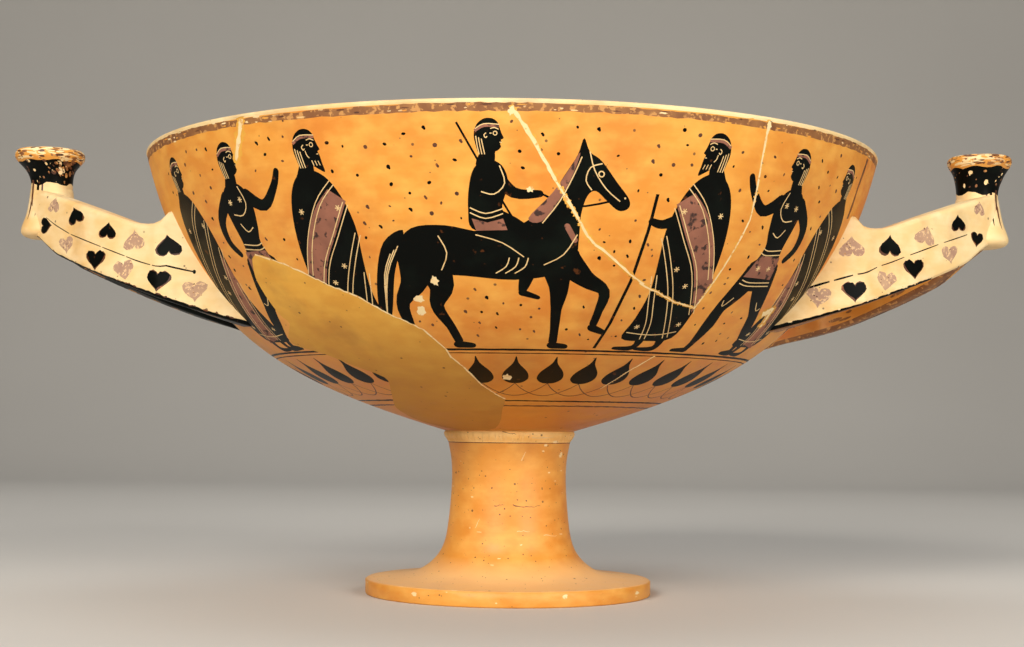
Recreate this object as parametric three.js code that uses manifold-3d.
// Footed drinking cup of fired clay: a wide bowl on a stem with a spreading foot, and two wishbone handles
// with upright spool knobs. Millimetres, +Z up. The origin is the centre of the foot's underside.
// The handles lie along X, and -Y is the front.

import * as THREE from 'three';
import { mergeVertices } from 'three/addons/utils/BufferGeometryUtils.js';
import Module from 'manifold-3d';

// Round body
const ROUND_SEGMENTS = 60;
const RIM_RADIUS = 108.5;
const RIM_HEIGHT = 129.4;
const LIP_OUTER_ROUND = 0.7;
const LIP_INNER_ROUND = 2;
const LIP_STEPS = 3;
const WALL_AT_LIP = 3.6;
const WALL_AT_STEM = 5;
const OUTER_STEPS = 12;
const INNER_STEPS = 8;

// Outer wall of the bowl, from the stem ring up to the lip, as one cubic curve of radius and height
const BOWL_FOOT = new THREE.Vector2(19.5, 49.2);
const BOWL_LOW_PULL = new THREE.Vector2(62.95, 62.35);
const BOWL_HIGH_PULL = new THREE.Vector2(95.44, 74.4);
const BOWL_TOP = new THREE.Vector2(RIM_RADIUS, 129.2);

// Foot and stem
const FOOT_RADIUS = 43.1;
const FOOT_EDGE_HEIGHT = 4.3;
const FOOT_EDGE_BEVEL = 0.5;
const STAND_INNER_RADIUS = 36;
const STEM_WAIST_RADIUS = 17.25;
const STEM_WAIST_HEIGHT = 35;
const STEM_TOP_RADIUS = 18.4;
const STEM_TOP_HEIGHT = 45.6;
const RING_RADIUS = 19.7;
const RING_LOW = 46.2;
const HOLLOW_TOP = 36.5;

// Handles: each is two flat straps that leave the bowl along a radius and bend in to meet under a knob.
// Heights along a strap are worked out from its distance back from STRAP_REFERENCE_X.
const STRAP_THICKNESS = 6.6;
const STRAP_SIDES = 12;
const STRAP_STEPS = 12;
const STRAP_SQUARENESS = 5;
const STRAP_REFERENCE_X = 146.4;
const STRAP_END_OFFSET = 4.2;
const ROOT_AZIMUTH = THREE.MathUtils.degToRad(22.5);
const ROOT_RADIUS = 76;
const ROOT_PULL_RADIUS = 119;
const TIP_PULL = new THREE.Vector2(128, 12.5);
const TOP_SLOPE = 0.37;
const BOTTOM_HEIGHT = 106.5;
const BOTTOM_SLOPE = 0.51;
const BOTTOM_CURVE = 0.0016;
const FLARE_START = 38;
const FLARE_CURVE = 0.05;
const FLARE_MOST = 4;
const DROOP_LENGTH = 14;
const DROOP_EASE = 0.35;
const DROOP_EASE_FROM = 35;
const DROOP_EASE_TO = 65;

// The two handles were shaped by hand and differ a little. backDroop is how far the rear strap hangs low.
const LEFT_HANDLE = {
  side: -1,
  neckX: 139.6,
  discRadius: 10.3,
  knobTop: 132.6,
  bossRadius: 9,
  strapTop: 122.4,
  backDroop: 2,
};
const RIGHT_HANDLE = {
  side: 1,
  neckX: 141.2,
  discRadius: 9.5,
  knobTop: 133.5,
  bossRadius: 9.4,
  strapTop: 123.2,
  backDroop: 6.2,
};

// Knobs
const KNOB_SEGMENTS = 20;
const DISC_EDGE = 3.4;
const NECK_RADIUS = 6.1;
const NECK_HEIGHT = 122.4;
const DISH_DEPTH = 1.6;
const KNOB_LEAN = 0.6;
const BOSS_BOTTOM = 106;
const BOSS_WIDEST_HEIGHT = 108.8;
const BOSS_FLATTENING = 0.86;

const CLAY = { color: 0xd99048, roughness: 0.55, metalness: 0 };

const wasm = await Module();
wasm.setup();

const at = (radius, height) => new THREE.Vector2(radius, height);

/** A closed three.js geometry as a solid, with doubled corners joined and empty triangles dropped. */
function solidOf(geometry) {
  const bare = geometry.clone();
  bare.deleteAttribute('normal');
  bare.deleteAttribute('uv');
  const merged = mergeVertices(bare, 1e-4);
  const corners = merged.index.array;
  const kept = [];
  for (let i = 0; i < corners.length; i += 3) {
    const [a, b, c] = [corners[i], corners[i + 1], corners[i + 2]];
    if (a !== b && b !== c && c !== a) kept.push(a, b, c);
  }
  const mesh = new wasm.Mesh({
    numProp: 3,
    vertProperties: new Float32Array(merged.attributes.position.array),
    triVerts: new Uint32Array(kept),
  });
  return new wasm.Manifold(mesh);
}

/** A solid as a three.js geometry. */
function geometryOf(solid) {
  const mesh = solid.getMesh();
  const geometry = new THREE.BufferGeometry();
  geometry.setAttribute('position', new THREE.BufferAttribute(new Float32Array(mesh.vertProperties), 3));
  geometry.setIndex(new THREE.BufferAttribute(new Uint32Array(mesh.triVerts), 1));
  geometry.computeVertexNormals();
  return geometry;
}

/** A profile of radius and height, listed from its lowest axis point round the outside, turned about +Z. */
function turned(profile, segments) {
  return new THREE.LatheGeometry(profile, segments).rotateX(Math.PI / 2);
}

/** Point and outward normal of the bowl's outer wall, t from 0 at the stem to 1 at the rim. */
function bowlWall(t) {
  const curve = new THREE.CubicBezierCurve(BOWL_FOOT, BOWL_LOW_PULL, BOWL_HIGH_PULL, BOWL_TOP);
  const tangent = curve.getTangent(t);
  return { point: curve.getPoint(t), normal: at(tangent.y, -tangent.x) };
}

/** The bowl's wall at t, set in from the outer face by a share of its thickness. */
function insideWall(t, share) {
  const { point, normal } = bowlWall(t);
  const thickness = THREE.MathUtils.lerp(WALL_AT_STEM, WALL_AT_LIP, t);
  return point.clone().addScaledVector(normal, -thickness * share);
}

/** Even values of t along the wall, from 0 at the stem to last. */
function wallSteps(count, last) {
  return Array.from({ length: count + 1 }, (_, i) => (last * i) / count);
}

/** The inner face from the lip down to the axis, where it ends in a shallow round floor. */
function innerFace(share, last) {
  const points = wallSteps(INNER_STEPS, last).map((t) => insideWall(t, share)).reverse();
  const edge = points[points.length - 1];
  const { normal } = bowlWall(0);
  const floorDrop = (edge.x * normal.x) / -normal.y / 2;
  points.push(at(edge.x / 2, edge.y - floorDrop * 0.75));
  points.push(at(0, edge.y - floorDrop));
  return points;
}

/** Hollow underside of the foot, from the axis down and out to the standing ring. */
function footHollow() {
  const roof = new THREE.SplineCurve([
    at(0, HOLLOW_TOP),
    at(8.5, 32),
    at(12, 20),
    at(15.5, 10.5),
    at(21, 5.2),
    at(28, 2.6),
    at(STAND_INNER_RADIUS - 0.8, 1.2),
  ]);
  return [...roof.getPoints(7), at(STAND_INNER_RADIUS, 0)];
}

/** Outside of the foot and stem, from the standing ring up to the groove under the raised ring. */
function footAndStem() {
  const spread = new THREE.SplineCurve([
    at(FOOT_RADIUS - FOOT_EDGE_BEVEL, FOOT_EDGE_HEIGHT + 0.3),
    at(38, 4.9),
    at(32, 5.6),
    at(27.2, 6.9),
    at(23.6, 9.2),
    at(20.9, 12.2),
    at(19.2, 16),
    at(18.3, 21),
    at(17.6, 28),
    at(STEM_WAIST_RADIUS, STEM_WAIST_HEIGHT),
    at(17.5, 40.5),
    at(STEM_TOP_RADIUS, STEM_TOP_HEIGHT),
  ]);
  return [
    at(FOOT_RADIUS - FOOT_EDGE_BEVEL, 0),
    at(FOOT_RADIUS, FOOT_EDGE_BEVEL),
    at(FOOT_RADIUS, FOOT_EDGE_HEIGHT),
    ...spread.getPoints(12),
  ];
}

/** Raised ring between stem and bowl. */
function stemRing() {
  return [
    at(RING_RADIUS, RING_LOW),
    at(RING_RADIUS + 0.15, (RING_LOW + BOWL_FOOT.y) / 2),
    at(RING_RADIUS, BOWL_FOOT.y - 0.4),
  ];
}

/** Rounded lip, over the top of the wall from its outer to its inner face. */
function lip() {
  const rounding = (centre, radius, from) => Array.from({ length: LIP_STEPS + 1 }, (_, i) => {
    const angle = (Math.PI / 2) * (from + i / LIP_STEPS);
    return at(centre + radius * Math.cos(angle), RIM_HEIGHT - radius * (1 - Math.sin(angle)));
  });
  return [
    ...rounding(RIM_RADIUS - LIP_OUTER_ROUND, LIP_OUTER_ROUND, 0),
    ...rounding(RIM_RADIUS - WALL_AT_LIP + LIP_INNER_ROUND, LIP_INNER_ROUND, 1),
  ];
}

/** The thrown body: hollow foot, stem, ring and bowl in one profile. */
function bodySolid() {
  const lastStep = 0.96;
  const outerFace = wallSteps(OUTER_STEPS, lastStep).map((t) => bowlWall(t).point);
  const profile = [
    ...footHollow(),
    ...footAndStem(),
    ...stemRing(),
    ...outerFace,
    ...lip(),
    ...innerFace(1, lastStep),
  ];
  return solidOf(turned(profile, ROUND_SEGMENTS));
}

/** Everything within the middle of the bowl's wall, up past the rim: it trims the straps' root ends. */
function wallCore() {
  const face = innerFace(0.5, 1).reverse();
  const above = RIM_HEIGHT + 20;
  return solidOf(turned([...face, at(face[face.length - 1].x, above), at(0, above)], ROUND_SEGMENTS));
}

/** Heights of a strap's edges, and how far its root flares, at a distance back from the tip. */
function strapEdges(back, tipTop, droop) {
  const eased = 1 - DROOP_EASE * THREE.MathUtils.smoothstep(back, DROOP_EASE_FROM, DROOP_EASE_TO);
  const lowered = droop * (1 - Math.exp(-back / DROOP_LENGTH)) * eased;
  const flare = Math.min(FLARE_MOST, FLARE_CURVE * Math.max(0, back - FLARE_START) ** 2);
  const top = tipTop - TOP_SLOPE * back + flare - lowered;
  const bottom = BOTTOM_HEIGHT - BOTTOM_SLOPE * back + BOTTOM_CURVE * back ** 2 - lowered;
  return { top, bottom, flare };
}

/** One strap of a handle on the +X, +Y side: a round bar, its section squared, drawn out along its path. */
function strapSolid(neckX, tipTop, droop) {
  const root = at(Math.cos(ROOT_AZIMUTH), Math.sin(ROOT_AZIMUTH));
  const path = new THREE.CubicBezierCurve(
    root.clone().multiplyScalar(ROOT_RADIUS),
    root.clone().multiplyScalar(ROOT_PULL_RADIUS),
    TIP_PULL,
    at(neckX, STRAP_END_OFFSET),
  );
  const bar = new THREE.CylinderGeometry(1, 1, 1, STRAP_SIDES, STRAP_STEPS);
  const corners = bar.attributes.position;
  const squared = (value) => Math.sign(value) * Math.abs(value) ** (2 / STRAP_SQUARENESS);
  for (let i = 0; i < corners.count; i += 1) {
    const along = corners.getY(i) + 0.5;
    const centre = path.getPoint(along);
    const tangent = path.getTangent(along);
    const { top, bottom, flare } = strapEdges(STRAP_REFERENCE_X - centre.x, tipTop, droop);
    const across = squared(corners.getX(i)) * ((STRAP_THICKNESS + flare) / 2);
    const height = (top + bottom) / 2 + squared(corners.getZ(i)) * ((top - bottom) / 2);
    corners.setXYZ(i, centre.x + tangent.y * across, centre.y - tangent.x * across, height);
  }
  return solidOf(bar);
}

/** Upright spool knob, leaning out a little, on the boss that gathers the two straps' ends. */
function knobSolid({ neckX, discRadius, knobTop, bossRadius }) {
  const discLow = knobTop - DISC_EDGE;
  const spool = turned([
    at(0, BOSS_WIDEST_HEIGHT),
    at(NECK_RADIUS + 0.6, BOSS_WIDEST_HEIGHT),
    at(NECK_RADIUS + 0.4, NECK_HEIGHT - 4.5),
    at(NECK_RADIUS, NECK_HEIGHT - 1),
    at(NECK_RADIUS + 0.3, NECK_HEIGHT + 2),
    at(NECK_RADIUS + 1.6, discLow - 2.2),
    at(discRadius - 0.8, discLow),
    at(discRadius, discLow + 1.3),
    at(discRadius - 0.1, knobTop - 0.9),
    at(discRadius - 1, knobTop),
    at(discRadius - 2.8, knobTop - 0.4),
    at(discRadius / 3, knobTop - DISH_DEPTH),
    at(0, knobTop - DISH_DEPTH),
  ], KNOB_SEGMENTS);
  const corners = spool.attributes.position;
  for (let i = 0; i < corners.count; i += 1) {
    const rise = THREE.MathUtils.smoothstep(corners.getZ(i), NECK_HEIGHT, discLow);
    corners.setX(i, corners.getX(i) + KNOB_LEAN * rise);
  }
  const boss = turned([
    at(0, BOSS_BOTTOM),
    at(bossRadius * 0.72, BOSS_BOTTOM),
    at(bossRadius * 0.94, BOSS_BOTTOM + 0.9),
    at(bossRadius, BOSS_WIDEST_HEIGHT),
    at(bossRadius * 0.81, BOSS_WIDEST_HEIGHT + 5.2),
    at(NECK_RADIUS + 0.2, NECK_HEIGHT - 1.6),
    at(0, NECK_HEIGHT - 1.6),
  ], KNOB_SEGMENTS).scale(1, BOSS_FLATTENING, 1);
  return solidOf(spool).add(solidOf(boss)).translate([neckX, 0, 0]);
}

/** One handle, trimmed to end inside the bowl's wall. */
function handleSolid(handle) {
  const front = strapSolid(handle.neckX, handle.strapTop, 0).mirror([0, 1, 0]);
  const back = strapSolid(handle.neckX, handle.strapTop, handle.backDroop);
  const whole = front.add(back).add(knobSolid(handle));
  return (handle.side > 0 ? whole : whole.mirror([1, 0, 0])).subtract(wallCore());
}

const fired = bodySolid().add(handleSolid(LEFT_HANDLE)).add(handleSolid(RIGHT_HANDLE));
const cup = new THREE.Mesh(geometryOf(fired), new THREE.MeshStandardMaterial(CLAY));
cup.name = 'cup';

const kylix = new THREE.Group();
kylix.add(cup);

export default kylix;
